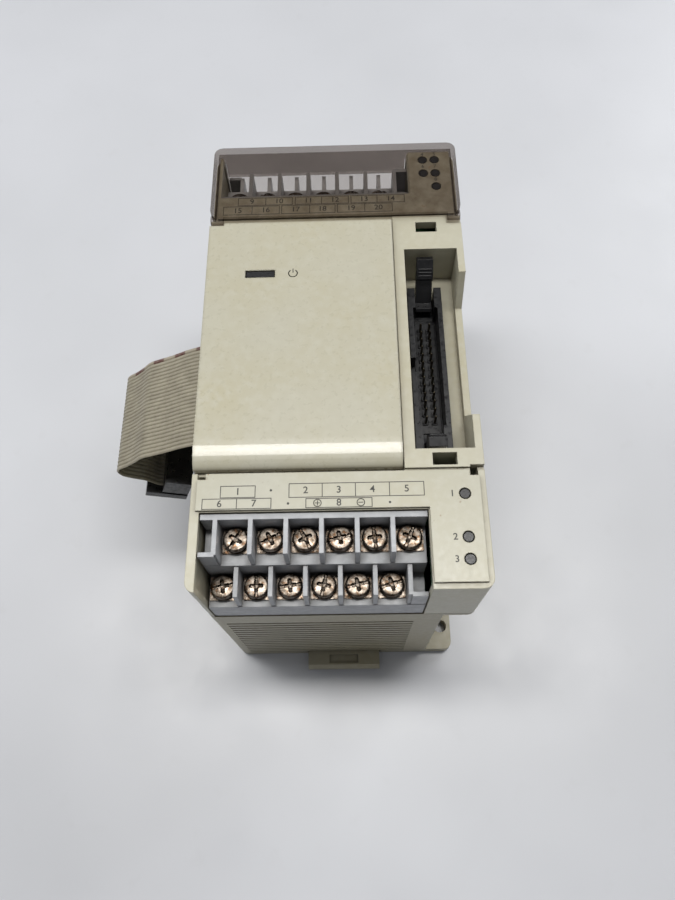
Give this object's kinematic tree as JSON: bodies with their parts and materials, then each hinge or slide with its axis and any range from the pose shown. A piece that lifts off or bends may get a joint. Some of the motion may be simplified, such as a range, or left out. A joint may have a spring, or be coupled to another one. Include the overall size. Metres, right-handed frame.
{
  "type": "plc expansion module",
  "caption": "Ivory controller expansion module with two screw terminal blocks, a clear hinged cover, a latched bus header and a flat bus cable.",
  "frame": {"origin": "centre of the bounding box's underside, rail latch included and flat cable left out, with the module on its back", "axes": "+Z out of the front face, +Y towards the upper terminals, +X towards the bus header"},
  "size_m": [0.1066, 0.146, 0.1],
  "materials": {
    "ivory": "satin",
    "plate": "satin",
    "smoke": "gloss",
    "grey": "satin",
    "screw": "satin",
    "black": "satin",
    "steel": "satin",
    "sheath": "satin",
    "board": "satin",
    "brass": "satin",
    "ferrite": "matte",
    "guide": "satin"
  },
  "bodies": {
    "housing": {"rear_case": "ivory", "front_housing": "ivory", "centre_panel": "ivory", "lower_label_plate": "plate", "upper_label_plate": "plate", "upper_light_guide": "guide", "lower_light_guide": "guide", "power_light_guide": "guide", "lower_terminal_block": "grey", "upper_terminal_block": "grey", "lower_inner_screw_1": "screw", "lower_inner_screw_2": "screw", "lower_inner_screw_3": "screw", "lower_inner_screw_4": "screw", "lower_inner_screw_5": "screw", "lower_inner_screw_6": "screw", "lower_outer_screw_1": "screw", "lower_outer_screw_2": "screw", "lower_outer_screw_3": "screw", "lower_outer_screw_4": "screw", "lower_outer_screw_5": "screw", "lower_outer_screw_6": "screw", "upper_inner_screw_1": "screw", "upper_inner_screw_2": "screw", "upper_inner_screw_3": "screw", "upper_inner_screw_4": "screw", "upper_inner_screw_5": "screw", "upper_inner_screw_6": "screw", "upper_outer_screw_1": "screw", "upper_outer_screw_2": "screw", "upper_outer_screw_3": "screw", "upper_outer_screw_4": "screw", "upper_outer_screw_5": "screw", "upper_outer_screw_6": "screw", "bus_header": "black", "rail_latch_spring": "steel", "flat_cable": "sheath", "cable_socket": "black", "cable_socket_cap": "black", "cable_transition": "black", "io_board": "board", "logic_board": "board", "board_spacer_1": "brass", "board_spacer_2": "brass", "board_spacer_3": "brass", "board_spacer_4": "brass", "board_link": "black", "counter_processor": "black", "input_optocouplers": "black", "output_drivers": "black", "supply_transformer": "ferrite", "supply_capacitor": "black"},
    "upper_cover": {"upper_terminal_cover": "smoke"},
    "upper_ejector": {"upper_ejector_latch": "black"},
    "lower_ejector": {"lower_ejector_latch": "black"},
    "rail_lock": {"rail_latch": "ivory"}
  },
  "joints": [
    {"name": "upper_cover_hinge", "type": "hinge", "parent": "housing", "child": "upper_cover", "pos_m": [0, 0.0446, 0.0989], "axis": [1, 0, 0], "range_deg": [0, 100]},
    {"name": "upper_ejector_pivot", "type": "hinge", "parent": "housing", "child": "upper_ejector", "pos_m": [0.0261, 0.0233, 0.0849], "axis": [1, 0, 0], "range_deg": [0, 34]},
    {"name": "lower_ejector_pivot", "type": "hinge", "parent": "housing", "child": "lower_ejector", "pos_m": [0.0261, -0.0248, 0.0849], "axis": [-1, 0, 0], "range_deg": [0, 18]},
    {"name": "rail_latch_slide", "type": "slide", "parent": "housing", "child": "rail_lock", "axis": [0, -1, 0], "range_m": [0, 0.004], "stiffness_N_per_m": 2000}
  ]
}
